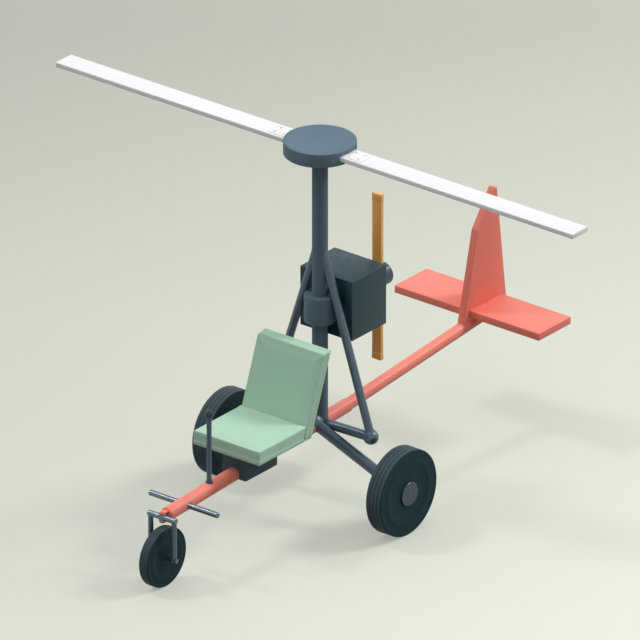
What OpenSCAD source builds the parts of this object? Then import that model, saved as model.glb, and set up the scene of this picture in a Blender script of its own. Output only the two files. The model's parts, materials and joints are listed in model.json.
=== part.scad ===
// Single-seat open-frame gyrocopter on a three-wheel gear.
// Millimetres. +Z is up, the nose points along -Y and the pilot's left is +X.
// The origin is on the ground, midway between the front of the nose tyre and the tail.
// Inside the modules y is measured from the mast's axis; place() moves a piece to the origin.

/* [Rotor] */
// Tip to tip length of the rotor
rotor_span = 4344; // [3200:10:7000]
// Front to back width of a blade
blade_chord = 162; // [100:1:220]
// Thickness of a blade
blade_t = 33; // [16:1:50]
// Diameter of the rotor hub disc
rotor_hub_d = 488; // [300:2:600]
// Height of the rotor hub disc
rotor_hub_h = 96; // [70:1:140]
// Diameter of the spindle that the rotor hub turns on
spindle_d = 50; // [30:1:70]
// Gap between the rotor hub and the top of the mast
rotor_gap = 6; // [5:1:20]

/* [Mast] */
// Height of the top of the rotor hub above the ground
rotor_top_z = 2623; // [2300:1:2900]
// Outside diameter of the mast
mast_d = 107; // [80:1:120]
// Wall of the mast
mast_wall = 4; // [3:0.5:8]
// Outside diameter of the clamp that carries the engine
collar_d = 214; // [160:2:240]
// Height of the engine clamp
collar_h = 189; // [100:1:240]

/* [Keel and boom] */
// Outside diameter of the keel tube
keel_d = 96; // [70:1:100]
// Wall of the keel tube
keel_wall = 5; // [4:0.5:8]
// Height of the keel's axis at the mast
keel_mast_z = 571; // [540:1:640]
// Upward slope of the keel towards the tail, degrees
keel_rise = 2.65; // [0:0.05:4]
// Distance from the mast to the keel's rear end
keel_aft = 284; // [200:1:400]
// How much slimmer the tail boom is than the keel
boom_step = 12; // [6:1:20]
// Wall of the tail boom
boom_wall = 2; // [2:0.5:6]
// Upward slope of the tail boom, degrees
boom_rise = 4.96; // [0:0.02:8]
// Distance from the mast to the boom's rear end
boom_aft = 1890; // [1780:1:1920]

/* [Engine and propeller] */
// Width of the engine block
engine_w = 438; // [300:2:500]
// Front to back length of the engine block
engine_l = 367; // [260:1:400]
// Height of the engine block
engine_h = 429; // [320:1:480]
// Wall of the engine block's casing
engine_wall = 6; // [5:1:20]
// Height of the propeller's axis
prop_z = 1408; // [1330:1:1500]
// Gap between the mast's rear face and the engine block
engine_gap = 10; // [6:1:30]
// Tip to tip length of the propeller
prop_span = 1214; // [900:2:1300]
// Width of the propeller blade
prop_chord = 76; // [50:1:100]
// Thickness of the propeller blade
prop_t = 33; // [16:1:40]
// Distance from the mast to the middle of the propeller blade
prop_y = 614; // [580:1:640]
// Diameter of the propeller hub and of the drive housing
prop_hub_d = 158; // [120:2:180]
// Length of the drive housing behind the engine
drive_l = 126; // [80:1:140]
// Gap between the drive housing and the propeller hub
prop_gap = 6; // [5:1:20]
// Length of the propeller hub behind the blade's middle
prop_hub_aft = 66; // [40:1:80]
// Diameter of the propeller shaft
prop_shaft_d = 40; // [24:1:60]

/* [Main gear] */
// Diameter of a main tyre
main_tyre_d = 604; // [450:2:620]
// Width of a main tyre
main_tyre_w = 127; // [90:1:150]
// Distance between the middles of the main tyres
track = 1468; // [1300:2:1800]
// Distance of the main axle ahead of the mast
main_axle_ahead = 62; // [40:1:140]
// Diameter of a main wheel's rim
main_rim_d = 168; // [130:2:200]
// How far a main rim stands out of its tyre
rim_proud = 13; // [6:1:20]
// Diameter of a main stub axle
axle_d = 34; // [25:1:45]
// Outside diameter of a gear leg
leg_d = 78; // [60:1:80]
// Wall of a gear leg
leg_wall = 4; // [3:0.5:8]
// Diameter of the hub in which the gear legs meet, ahead of the mast
gear_hub_d = 130; // [120:1:140]
// Height of that hub's middle
gear_hub_z = 585; // [565:1:610]
// Thickness of a stub axle's flange
flange_t = 10; // [6:1:16]
// Outside diameter of a cross strut
strut_d = 66; // [50:1:70]
// Wall of a cross strut
strut_wall = 3; // [2:0.5:6]
// Outside diameter of a mast brace
brace_d = 57; // [40:1:60]
// Wall of a mast brace
brace_wall = 3; // [2:0.5:6]
// Height at which the mast braces meet the mast
brace_top_z = 1748; // [1640:1:1900]
// Distance from the mast to a brace ball
ball_x = 430; // [360:1:480]
// Height of the brace balls
ball_z = 583; // [565:1:620]
// Diameter of a brace ball
ball_d = 104; // [90:1:120]

/* [Nose gear] */
// Diameter of the nose tyre
nose_tyre_d = 416; // [320:2:430]
// Width of the nose tyre
nose_tyre_w = 74; // [50:1:100]
// Distance of the nose wheel and its steering axis ahead of the mast
nose_ahead = 1665; // [1500:1:1800]
// Diameter of the nose wheel's rim
nose_rim_d = 104; // [90:2:140]
// Distance between the middles of the fork's legs
fork_w = 196; // [180:2:240]
// Diameter of a fork leg
fork_leg_d = 36; // [28:1:40]
// Diameter of the fork's crossbar
crown_d = 40; // [30:1:44]
// Diameter of the boss in the middle of the crossbar
boss_d = 48; // [44:1:56]
// Height of that boss
boss_h = 56; // [46:1:64]
// Diameter of the king pin
king_pin_d = 16; // [10:1:20]
// Diameter of the nose wheel's axle
nose_axle_d = 20; // [14:1:24]
// Diameter of the spacers and end caps on that axle
nose_spacer_d = 33; // [28:1:34]
// How far the axle's end caps stand out of the fork
nose_cap_t = 6; // [4:1:12]
// Largest steering angle either way, degrees
steer_max = 25; // [10:1:25]
// Clearance from the turned crossbar to the keel's nose
steer_gap = 5; // [5:1:12]
// Height of the keel's domed nose cap
nose_dome = 13; // [8:1:13]

/* [Tyres] */
// Wall of a tyre's tread and sides
tyre_wall = 12; // [8:1:16]
// Chamfer of a tyre's shoulder
tyre_shoulder = 6; // [3:1:10]

/* [Seat] */
// Width of the seat
seat_w = 564; // [440:2:600]
// Distance from the mast to the front of the seat
seat_front = 998; // [930:1:1040]
// Distance from the mast to the foot of the backrest's front face
seat_back_foot = 521; // [500:1:560]
// Height of the seat's underside
seat_z = 694; // [660:1:740]
// Depth of the seat from its underside to the top of its cushion
seat_t = 100; // [70:1:130]
// Front to back thickness of the backrest
back_t = 79; // [60:1:100]
// Height of the backrest's top
back_top_z = 1257; // [1100:1:1400]
// Backwards lean of the backrest, degrees
back_lean = 20.7; // [10:0.1:25]
// Thickness of the shell that carries the cushions
shell_t = 12; // [8:1:16]
// Width of the box under the seat
box_w = 202; // [160:2:260]
// Distance from the mast to the box's front
box_front = 913; // [860:1:940]
// Distance from the mast to the box's back
box_back = 573; // [540:1:640]
// How far the box reaches below the keel's axis
box_below = 43; // [20:1:60]

/* [Controls] */
// Distance from the mast to the control stick
stick_ahead = 1173; // [1120:1:1300]
// Height of the middle of the stick's knob
stick_top_z = 1061; // [900:1:1150]
// Diameter of the control stick
stick_d = 34; // [24:1:40]
// Diameter of the stick's knob
knob_d = 60; // [50:1:70]
// Distance from the mast to the foot bar
bar_ahead = 1438; // [1340:1:1470]
// Length of the foot bar
bar_w = 572; // [400:2:640]
// Diameter of the foot bar
bar_d = 40; // [24:1:44]
// Diameter of the bush that carries the foot bar through the keel
bar_bush_d = 48; // [46:1:60]
// How far that bush stands out of the keel
bar_bush_proud = 10; // [4:1:20]

/* [Tail] */
// Span of the tailplane
tailplane_w = 1222; // [900:2:1400]
// Front to back length of the tailplane
tailplane_l = 345; // [260:1:360]
// Distance from the mast to the tailplane's front edge
tailplane_y = 1566; // [1520:1:1600]
// Thickness of the tailplane
tailplane_t = 53; // [30:1:70]
// Height of the tailplane's underside
tailplane_z = 758; // [740:1:790]
// Thickness of the fin
fin_t = 53; // [30:1:70]
// Height of the fin's top
fin_top_z = 1613; // [1450:1:1800]
// Distance from the mast to the fin's lower front corner
fin_front = 1492; // [1440:1:1520]
// Distance from the mast to the fin's rearmost corner
fin_rear = 1967; // [1940:1:2040]
// Skin of the fin and the tailplane
tail_skin = 4; // [2:0.5:6]

/* [Fits] */
// Radial clearance of a shaft that turns in its bore
run_fit = 0.05; // [0.02:0.01:0.08]
// Side clearance of a hub between its shoulders
side_fit = 1; // [0.5:0.1:2]
// Gap between the seat's two cushions
cushion_gap = 1; // [0.5:0.1:3]

/* [Hidden] */
$fn = 96;

coral = [0.93, 0.46, 0.39];
mint = [0.62, 0.80, 0.69];
slate = [0.25, 0.30, 0.34];
charcoal = [0.12, 0.17, 0.20];
gunmetal = [0.30, 0.34, 0.39];
steel = [0.70, 0.73, 0.75];
timber = [0.86, 0.53, 0.25];
white = [0.96, 0.97, 0.96];

// the origin lies midway along the aircraft
front_y = -nose_ahead - nose_tyre_d / 2;
mast_y = -(front_y + fin_rear) / 2;

// how far a cutting piece reaches past the face it opens, and how deep joined pieces lap
reach = 1;

// keel and boom axes, heights as functions of y
function keel_z(y) = keel_mast_z + y * tan(keel_rise);
function boom_z(y) = keel_z(keel_aft) + (y - keel_aft) * tan(boom_rise);
keel_r = keel_d / 2;
boom_d = keel_d - boom_step;
// plate that closes the keel's rear end, and the boom's length inside it
keel_plate = 10;
boom_lap = 20;

// nose gear
pivot_y = -nose_ahead;
crown_z = keel_z(pivot_y);
nose_axle_z = nose_tyre_d / 2;
// the turned crossbar reaches this far behind the steering axis at the keel's side
crossbar_sweep = keel_r * tan(steer_max) + crown_d / 2 / cos(steer_max);
keel_front = pivot_y + crossbar_sweep + steer_gap;
// the steering head's two ears, the pin through them and the spigot in the keel
ear_t = 8;
ear_w = 40;
ear_gap = 0.5;
ear_root = 8;
pin_head_t = 6;
pin_head_d = 1.6 * king_pin_d;
spigot_l = 60;
spigot_lap = 6;
dome_skirt = 10;
nose_axle_end_x = fork_w / 2 + fork_leg_d / 2 + nose_cap_t;

// main gear
main_axle_y = -main_axle_ahead;
main_axle_z = main_tyre_d / 2;
tyre_inner_x = track / 2 - main_tyre_w / 2;
tyre_outer_x = track / 2 + main_tyre_w / 2;
// gap between a stub axle's flange and its wheel
wheel_gap = 10;
leg_end_x = tyre_inner_x - wheel_gap - flange_t;
leg_root = [0, main_axle_y, gear_hub_z];
leg_foot = [track / 2, main_axle_y, main_axle_z];
leg_slope = (leg_root[2] - leg_foot[2]) / leg_foot[0];
// the flange covers the slanted end of the leg
flange_r = leg_slope * (leg_foot[0] - leg_end_x) + leg_d / 2 * sqrt(1 + leg_slope * leg_slope);
// width of the step that a wheel turns against, and how far the axle stops short of the tyre's side
axle_shoulder = 8;
axle_short = 10;
axle_end_x = tyre_outer_x - axle_short;

// mast brace, from a point on the mast's axis to the ball
brace_foot = [ball_x, 0, ball_z];
brace_root = [0, 0, brace_top_z + mast_d / 2 * (brace_top_z - ball_z) / (ball_x - mast_d / 2)];
// clearance of the notches in the engine clamp
brace_clear = 3;
// clearance of the gear hub round the keel and the mast
hub_clear = 0.3;

// engine, clamp and propeller
engine_y = mast_d / 2 + engine_gap;
drive_y = engine_y + engine_l;
drive_end_y = drive_y + drive_l;
prop_hub_y = drive_end_y + prop_gap;
// depth of the propeller shaft in the drive housing
shaft_in = 70;

// rotor
hub_z = rotor_top_z - rotor_hub_h;
mast_top_z = hub_z - rotor_gap;
// the spindle's length in the mast, the cover over it and the step under the hub
spindle_foot = 120;
spindle_cover = 20;
spindle_step = 12;
spindle_top_z = rotor_top_z - spindle_cover;
// wall between the spindle and a blade's root
blade_root_wall = 12;
blade_root_x = spindle_d / 2 + blade_root_wall;
blade_z = hub_z + rotor_hub_h / 2;

// seat section in y and z
back_slope = tan(back_lean);
shell_back_t = shell_t / cos(back_lean);
pan_z = seat_z + shell_t;
seat_top_z = seat_z + seat_t;
function back_front_y(z) = -seat_back_foot + (z - seat_z) * back_slope;
function back_rear_y(z) = back_front_y(z) + back_t;

// the fin's other corners, as distances from the mast and heights
fin_kink = [1651, 1363];
fin_top_front = 1835;
fin_top_rear = 1858;
fin_heel = [1960, 785];
fin_foot_z = boom_z(fin_front);

module place() {
    translate([0, mast_y, 0]) children();
}

module to_right() {
    mirror([1, 0, 0]) children();
}

// a round bar from a to b
module rod(a, b, d) {
    v = b - a;
    l = norm(v);
    translate(a)
        rotate([0, acos(v[2] / l), atan2(v[1], v[0])])
            cylinder(d = d, h = l);
}

// a round tube from a to b
module tube(a, b, d, wall) {
    over = (b - a) / 100;
    difference() {
        rod(a, b, d);
        rod(a - over, b + over, d - 2 * wall);
    }
}

module keel_solid(d = keel_d) {
    rod([0, keel_front, keel_z(keel_front)], [0, keel_aft, keel_z(keel_aft)], d);
}

module boom_solid(d = boom_d) {
    rod([0, keel_aft, boom_z(keel_aft)], [0, boom_aft, boom_z(boom_aft)], d);
}

module mast_solid(d = mast_d) {
    rod([0, 0, keel_mast_z], [0, 0, mast_top_z], d);
}

module leg_solid() {
    rod(leg_root, leg_foot, leg_d);
}

module gear_hub_solid() {
    translate(leg_root) sphere(d = gear_hub_d);
}

module brace_solid(d = brace_d) {
    rod(brace_root, brace_foot, d);
}

module ball_solid() {
    translate(brace_foot) sphere(d = ball_d);
}

// a bar along x
module cross_rod(x0, x1, y, z, d) {
    translate([x0, y, z]) rotate([0, 90, 0]) cylinder(d = d, h = x1 - x0);
}

module prism(points, w) {
    rotate([90, 0, 90]) translate([0, 0, -w / 2]) linear_extrude(w) polygon(points);
}

// the points of an anticlockwise outline moved inwards by d
function inset(p, d) = [for (i = [0:len(p) - 1])
    let (a = p[(i + len(p) - 1) % len(p)], b = p[i], c = p[(i + 1) % len(p)],
         u = (b - a) / norm(b - a), v = (c - b) / norm(c - b),
         m = [-u[1], u[0]], n = [-v[1], v[0]])
    b + d * (m + n) / (1 + m * n)];

// ---- frame ----

module keel_tube() {
    y0 = keel_front - reach;
    y1 = keel_aft - keel_plate;
    color(coral) place() difference() {
        keel_solid();
        rod([0, y0, keel_z(y0)], [0, y1, keel_z(y1)], keel_d - 2 * keel_wall);
        foot_bar_solid();
    }
}

module tail_boom() {
    y0 = keel_aft - boom_lap;
    y1 = boom_aft - boom_wall;
    color(coral) place() difference() {
        rod([0, y0, boom_z(y0)], [0, boom_aft, boom_z(boom_aft)], boom_d);
        rod([0, y0 - boom_lap, boom_z(y0 - boom_lap)], [0, y1, boom_z(y1)],
            boom_d - 2 * boom_wall);
        keel_solid();
    }
}

module mast() {
    color(slate) place() difference() {
        mast_solid();
        translate([0, 0, keel_mast_z - reach])
            cylinder(d = mast_d - 2 * mast_wall, h = mast_top_z);
        keel_solid();
    }
}

// clamp round the mast, cut flat where the engine is bolted to it and notched for the braces
module engine_clamp() {
    color(slate) place() difference() {
        translate([0, 0, prop_z - collar_h / 2]) cylinder(d = collar_d, h = collar_h);
        translate([0, 0, prop_z - collar_h]) cylinder(d = mast_d, h = 2 * collar_h);
        translate([-collar_d, engine_y, prop_z - collar_h])
            cube([2 * collar_d, collar_d, 2 * collar_h]);
        brace_solid(brace_d + 2 * brace_clear);
        to_right() brace_solid(brace_d + 2 * brace_clear);
    }
}

module mast_brace() {
    difference() {
        tube(brace_root, brace_foot, brace_d, brace_wall);
        mast_solid();
        ball_solid();
    }
}

module cross_strut() {
    difference() {
        tube([0, 0, keel_mast_z], brace_foot, strut_d, strut_wall);
        mast_solid();
        keel_solid();
        gear_hub_solid();
        leg_solid();
        brace_solid();
        ball_solid();
    }
}

// ball on the keel, against the front of the mast
module gear_hub() {
    color(gunmetal) place() difference() {
        gear_hub_solid();
        keel_solid(keel_d + 2 * hub_clear);
        mast_solid(mast_d + 2 * hub_clear);
    }
}

module gear_leg() {
    room = 2 * leg_d;
    difference() {
        leg_solid();
        rod(leg_root, leg_foot, leg_d - 2 * leg_wall);
        gear_hub_solid();
        keel_solid();
        translate([leg_end_x, main_axle_y - room, main_axle_z - room]) cube(2 * room);
    }
}

module stub_axle() {
    cross_rod(leg_end_x, leg_end_x + flange_t, main_axle_y, main_axle_z, 2 * flange_r);
    cross_rod(leg_end_x, tyre_inner_x - side_fit, main_axle_y, main_axle_z,
        axle_d + 2 * axle_shoulder);
    cross_rod(leg_end_x, axle_end_x, main_axle_y, main_axle_z, axle_d);
}

module left_mast_brace() { color(gunmetal) place() mast_brace(); }
module right_mast_brace() { color(gunmetal) place() to_right() mast_brace(); }
module left_brace_ball() { color(gunmetal) place() ball_solid(); }
module right_brace_ball() { color(gunmetal) place() to_right() ball_solid(); }
module left_cross_strut() { color(gunmetal) place() cross_strut(); }
module right_cross_strut() { color(gunmetal) place() to_right() cross_strut(); }
module left_gear_leg() { color(gunmetal) place() gear_leg(); }
module right_gear_leg() { color(gunmetal) place() to_right() gear_leg(); }
module left_stub_axle() { color(steel) place() stub_axle(); }
module right_stub_axle() { color(steel) place() to_right() stub_axle(); }

// ---- rotor ----

// fixed in the mast's top; the hub turns on it
module rotor_spindle() {
    z0 = mast_top_z - reach;
    color(steel) place() {
        translate([0, 0, mast_top_z - spindle_foot])
            cylinder(d = mast_d - 2 * mast_wall, h = spindle_foot);
        translate([0, 0, z0])
            cylinder(d = spindle_d + 2 * spindle_step, h = hub_z - side_fit - z0);
        translate([0, 0, z0]) cylinder(d = spindle_d, h = spindle_top_z - z0);
    }
}

module blade_solid() {
    translate([blade_root_x, -blade_chord / 2, blade_z - blade_t / 2])
        cube([rotor_span / 2 - blade_root_x, blade_chord, blade_t]);
}

module rotor_hub() {
    z0 = hub_z - reach;
    color(slate) place() difference() {
        translate([0, 0, hub_z]) cylinder(d = rotor_hub_d, h = rotor_hub_h);
        translate([0, 0, z0]) cylinder(d = spindle_d + 2 * run_fit, h = spindle_top_z + side_fit - z0);
        blade_solid();
        to_right() blade_solid();
    }
}

module left_rotor_blade() { color(white) place() blade_solid(); }
module right_rotor_blade() { color(white) place() to_right() blade_solid(); }

// ---- engine and propeller ----

module engine() {
    color(charcoal) place() translate([0, engine_y + engine_l / 2, prop_z]) difference() {
        cube([engine_w, engine_l, engine_h], center = true);
        cube([engine_w, engine_l, engine_h] - 2 * engine_wall * [1, 1, 1], center = true);
    }
}

// a bar along y
module along_y(y0, y1, d) {
    translate([0, y0, prop_z]) rotate([-90, 0, 0]) cylinder(d = d, h = y1 - y0);
}

module drive_housing() {
    color(gunmetal) place() difference() {
        along_y(drive_y, drive_end_y, prop_hub_d);
        along_y(drive_end_y - shaft_in - side_fit, drive_end_y + reach, prop_shaft_d + 2 * run_fit);
    }
}

module propeller_solid() {
    translate([-prop_chord / 2, prop_y - prop_t / 2, prop_z - prop_span / 2])
        cube([prop_chord, prop_t, prop_span]);
}

module propeller_hub() {
    color(gunmetal) place() difference() {
        union() {
            along_y(prop_hub_y, prop_y + prop_hub_aft, prop_hub_d);
            along_y(drive_end_y - shaft_in, prop_hub_y + reach, prop_shaft_d);
        }
        propeller_solid();
    }
}

module propeller() { color(timber) place() propeller_solid(); }

// ---- wheels, turned about their own axis and then set on their axles ----

// a tyre open towards its rim, centred, axis along x
module tyre(d, w, rim_d) {
    r = d / 2;
    c = tyre_shoulder;
    outer = [[rim_d / 2, -w / 2], [r - c, -w / 2], [r, -w / 2 + c], [r, w / 2 - c],
        [r - c, w / 2], [rim_d / 2, w / 2]];
    rotate([0, 90, 0]) rotate_extrude() difference() {
        polygon(outer);
        translate([0, -w / 2 + tyre_wall]) square([r - tyre_wall, w - 2 * tyre_wall]);
    }
}

module main_tyre() {
    translate([track / 2, main_axle_y, main_axle_z]) tyre(main_tyre_d, main_tyre_w, main_rim_d);
}

module main_rim() {
    difference() {
        cross_rod(tyre_inner_x, tyre_outer_x + rim_proud, main_axle_y, main_axle_z, main_rim_d);
        cross_rod(tyre_inner_x - reach, axle_end_x + side_fit, main_axle_y, main_axle_z,
            axle_d + 2 * run_fit);
    }
}

module left_tyre() { color(charcoal) place() main_tyre(); }
module right_tyre() { color(charcoal) place() to_right() main_tyre(); }
module left_rim() { color(gunmetal) place() main_rim(); }
module right_rim() { color(gunmetal) place() to_right() main_rim(); }

module nose_tyre() {
    color(charcoal) place() translate([0, pivot_y, nose_axle_z])
        tyre(nose_tyre_d, nose_tyre_w, nose_rim_d);
}

module nose_rim() {
    color(gunmetal) place() difference() {
        cross_rod(-nose_tyre_w / 2, nose_tyre_w / 2, pivot_y, nose_axle_z, nose_rim_d);
        cross_rod(-nose_tyre_w, nose_tyre_w, pivot_y, nose_axle_z, nose_axle_d + 2 * run_fit);
    }
}

// ---- nose gear ----

// domed cap with a spigot in the keel, two ears and the king pin
module steering_head() {
    dome_r = (keel_r * keel_r + nose_dome * nose_dome) / (2 * nose_dome);
    dome_y = keel_front - nose_dome;
    y0 = dome_y - dome_skirt;
    y1 = dome_y + spigot_lap;
    y2 = keel_front + spigot_l;
    color(steel) place() {
        difference() {
            intersection() {
                rod([0, y0, keel_z(y0)], [0, keel_front, keel_z(keel_front)], keel_d);
                translate([0, dome_y + dome_r, keel_z(dome_y)]) sphere(r = dome_r);
            }
            keel_solid(keel_d + 2 * reach);
        }
        rod([0, y1, keel_z(y1)], [0, y2, keel_z(y2)], keel_d - 2 * keel_wall);
        for (s = [-1, 1]) translate([0, pivot_y, crown_z + s * (boss_h / 2 + ear_gap + ear_t / 2)]) {
            cylinder(d = ear_w, h = ear_t, center = true);
            translate([-ear_w / 2, 0, -ear_t / 2]) cube([ear_w, dome_y + ear_root - pivot_y, ear_t]);
        }
        translate([0, pivot_y, crown_z - boss_h / 2 - ear_gap - ear_t])
            cylinder(d = king_pin_d, h = boss_h + 2 * (ear_gap + ear_t) + pin_head_t);
        translate([0, pivot_y, crown_z + boss_h / 2 + ear_gap + ear_t])
            cylinder(d = pin_head_d, h = pin_head_t);
    }
}

module crossbar_solid() {
    cross_rod(-fork_w / 2 - fork_leg_d / 2, fork_w / 2 + fork_leg_d / 2, pivot_y, crown_z, crown_d);
}

module fork_crown() {
    color(steel) place() difference() {
        union() {
            crossbar_solid();
            translate([0, pivot_y, crown_z]) cylinder(d = boss_d, h = boss_h, center = true);
        }
        translate([0, pivot_y, crown_z])
            cylinder(d = king_pin_d + 2 * run_fit, h = 2 * boss_h, center = true);
    }
}

module fork_leg() {
    difference() {
        translate([fork_w / 2, pivot_y, nose_axle_z]) {
            cylinder(d = fork_leg_d, h = crown_z - nose_axle_z);
            sphere(d = fork_leg_d);
        }
        crossbar_solid();
        cross_rod(0, fork_w, pivot_y, nose_axle_z, nose_axle_d);
    }
}

module left_fork_leg() { color(gunmetal) place() fork_leg(); }
module right_fork_leg() { color(gunmetal) place() to_right() fork_leg(); }

// spacer inside a fork leg and cap outside it
module axle_end() {
    difference() {
        cross_rod(nose_tyre_w / 2 + side_fit, nose_axle_end_x, pivot_y, nose_axle_z, nose_spacer_d);
        translate([fork_w / 2, pivot_y, 0]) cylinder(d = fork_leg_d, h = 2 * nose_axle_z);
    }
}

module nose_axle() {
    color(steel) place() {
        cross_rod(-nose_axle_end_x, nose_axle_end_x, pivot_y, nose_axle_z, nose_axle_d);
        axle_end();
        to_right() axle_end();
    }
}

// ---- seat ----

module seat_box() {
    z0 = keel_z(-(box_front + box_back) / 2) - box_below;
    color(slate) place() difference() {
        translate([-box_w / 2, -box_front, z0]) cube([box_w, box_front - box_back, seat_z - z0]);
        keel_solid();
    }
}

module seat_shell() {
    color(mint) place() prism([
        [-seat_front, seat_z],
        [back_rear_y(seat_z), seat_z],
        [back_rear_y(back_top_z), back_top_z],
        [back_rear_y(back_top_z) - shell_back_t, back_top_z],
        [back_rear_y(pan_z) - shell_back_t, pan_z],
        [-seat_front, pan_z]
    ], seat_w);
}

module seat_cushion() {
    color(mint) place() prism([
        [-seat_front, pan_z],
        [back_front_y(pan_z) - cushion_gap, pan_z],
        [back_front_y(seat_top_z) - cushion_gap, seat_top_z],
        [-seat_front, seat_top_z]
    ], seat_w);
}

module back_cushion() {
    color(mint) place() prism([
        [back_front_y(pan_z), pan_z],
        [back_rear_y(pan_z) - shell_back_t, pan_z],
        [back_rear_y(back_top_z) - shell_back_t, back_top_z],
        [back_front_y(back_top_z), back_top_z]
    ], seat_w);
}

// ---- controls ----

// the bar and its bush
module foot_bar_solid() {
    bush_x = keel_r + bar_bush_proud;
    cross_rod(-bar_w / 2, bar_w / 2, -bar_ahead, keel_z(-bar_ahead), bar_d);
    cross_rod(-bush_x, bush_x, -bar_ahead, keel_z(-bar_ahead), bar_bush_d);
}

module foot_bar() { color(steel) place() foot_bar_solid(); }

module stick_solid() {
    translate([0, -stick_ahead, keel_z(-stick_ahead)])
        cylinder(d = stick_d, h = stick_top_z - keel_z(-stick_ahead));
}

module control_stick() {
    color(slate) place() difference() {
        stick_solid();
        keel_solid();
    }
}

module stick_knob() {
    color(slate) place() difference() {
        translate([0, -stick_ahead, stick_top_z]) sphere(d = knob_d);
        stick_solid();
    }
}

// ---- tail ----

module fin() {
    outline = [
        [fin_front, fin_foot_z],
        [fin_rear, fin_foot_z],
        fin_heel,
        [fin_top_rear, fin_top_z],
        [fin_top_front, fin_top_z],
        fin_kink
    ];
    hollow = inset(outline, tail_skin);
    color(coral) place() difference() {
        prism(outline, fin_t);
        difference() {
            prism(hollow, fin_t - 2 * tail_skin);
            boom_solid(boom_d + 2 * tail_skin);
        }
        boom_solid();
    }
}

// one half of the tailplane, open towards the fin
module tailplane() {
    w = (tailplane_w - fin_t) / 2;
    difference() {
        translate([fin_t / 2, tailplane_y, tailplane_z]) cube([w, tailplane_l, tailplane_t]);
        difference() {
            translate([fin_t / 2 - reach, tailplane_y + tail_skin, tailplane_z + tail_skin])
                cube([w + reach - tail_skin, tailplane_l - 2 * tail_skin,
                    tailplane_t - 2 * tail_skin]);
            boom_solid(boom_d + 2 * tail_skin);
        }
        boom_solid();
    }
}

module left_tailplane() { color(coral) place() tailplane(); }
module right_tailplane() { color(coral) place() to_right() tailplane(); }

keel_tube();
tail_boom();
mast();
engine_clamp();
rotor_spindle();
engine();
drive_housing();
left_mast_brace();
right_mast_brace();
left_brace_ball();
right_brace_ball();
left_cross_strut();
right_cross_strut();
gear_hub();
left_gear_leg();
right_gear_leg();
left_stub_axle();
right_stub_axle();
seat_box();
seat_shell();
seat_cushion();
back_cushion();
control_stick();
stick_knob();
foot_bar();
steering_head();
fin();
left_tailplane();
right_tailplane();
rotor_hub();
left_rotor_blade();
right_rotor_blade();
propeller();
propeller_hub();
left_tyre();
left_rim();
right_tyre();
right_rim();
fork_crown();
left_fork_leg();
right_fork_leg();
nose_axle();
nose_tyre();
nose_rim();
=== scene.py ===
"""Open-frame gyrocopter: finishes, tyres, cushions, skins and fittings round the CAD frame."""
import json
import math

import bmesh
import bpy
from mathutils import Matrix, Vector, noise
from mathutils.bvhtree import BVHTree


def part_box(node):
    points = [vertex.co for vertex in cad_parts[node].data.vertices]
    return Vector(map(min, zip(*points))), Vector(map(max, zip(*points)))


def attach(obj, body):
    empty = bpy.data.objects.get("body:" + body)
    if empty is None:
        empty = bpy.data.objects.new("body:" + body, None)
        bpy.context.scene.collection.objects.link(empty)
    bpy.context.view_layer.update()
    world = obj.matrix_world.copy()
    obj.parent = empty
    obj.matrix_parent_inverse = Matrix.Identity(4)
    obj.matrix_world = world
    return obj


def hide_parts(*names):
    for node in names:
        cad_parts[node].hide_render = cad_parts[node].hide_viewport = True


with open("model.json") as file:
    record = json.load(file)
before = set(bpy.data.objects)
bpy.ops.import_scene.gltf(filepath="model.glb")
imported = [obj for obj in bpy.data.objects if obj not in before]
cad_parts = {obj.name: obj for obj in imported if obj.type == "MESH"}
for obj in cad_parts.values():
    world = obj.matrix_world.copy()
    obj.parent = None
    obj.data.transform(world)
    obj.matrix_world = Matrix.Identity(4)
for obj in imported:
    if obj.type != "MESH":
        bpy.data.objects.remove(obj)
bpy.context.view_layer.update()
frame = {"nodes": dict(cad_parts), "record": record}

scene = bpy.context.scene
MM = 0.001
X, Y, Z = Vector((1, 0, 0)), Vector((0, 1, 0)), Vector((0, 0, 1))
SIDES = {"left": 1, "right": -1}


def low(node):
    return Vector(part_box(node)[0])


def high(node):
    return Vector(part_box(node)[1])


def middle(node):
    return (low(node) + high(node)) / 2


def half_size(node):
    return (high(node) - low(node)) / 2


# ---------------------------------------------------------------- finishes

class Nodes:
    """A node tree, with short ways to add and join nodes."""

    def __init__(self, tree):
        self.tree = tree

    def set(self, node, socket, value):
        if isinstance(value, bpy.types.NodeSocket):
            self.tree.links.new(value, node.inputs[socket])
        else:
            node.inputs[socket].default_value = value

    def add(self, kind, inputs=None, **settings):
        node = self.tree.nodes.new(kind)
        for key, value in settings.items():
            setattr(node, key, value)
        for socket, value in (inputs or {}).items():
            self.set(node, socket, value)
        return node

    def math(self, operation, a, b=0.0):
        return self.add("ShaderNodeMath", {0: a, 1: b}, operation=operation).outputs[0]

    def seen(self):
        """1 where a surface is seen, straight or in another one, and 0 where it lights the rest."""
        path = self.add("ShaderNodeLightPath")
        seen = self.math("MAXIMUM", path.outputs["Is Camera Ray"], path.outputs["Is Glossy Ray"])
        return self.math("MAXIMUM", seen, path.outputs["Is Transmission Ray"])

    def pick(self, factor, at_none, at_full):
        """The first colour at factor 0 and the second at 1."""
        inputs = {"Factor": factor, 6: at_none, 7: at_full}
        return self.add("ShaderNodeMix", inputs, data_type="RGBA").outputs[2]


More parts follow.
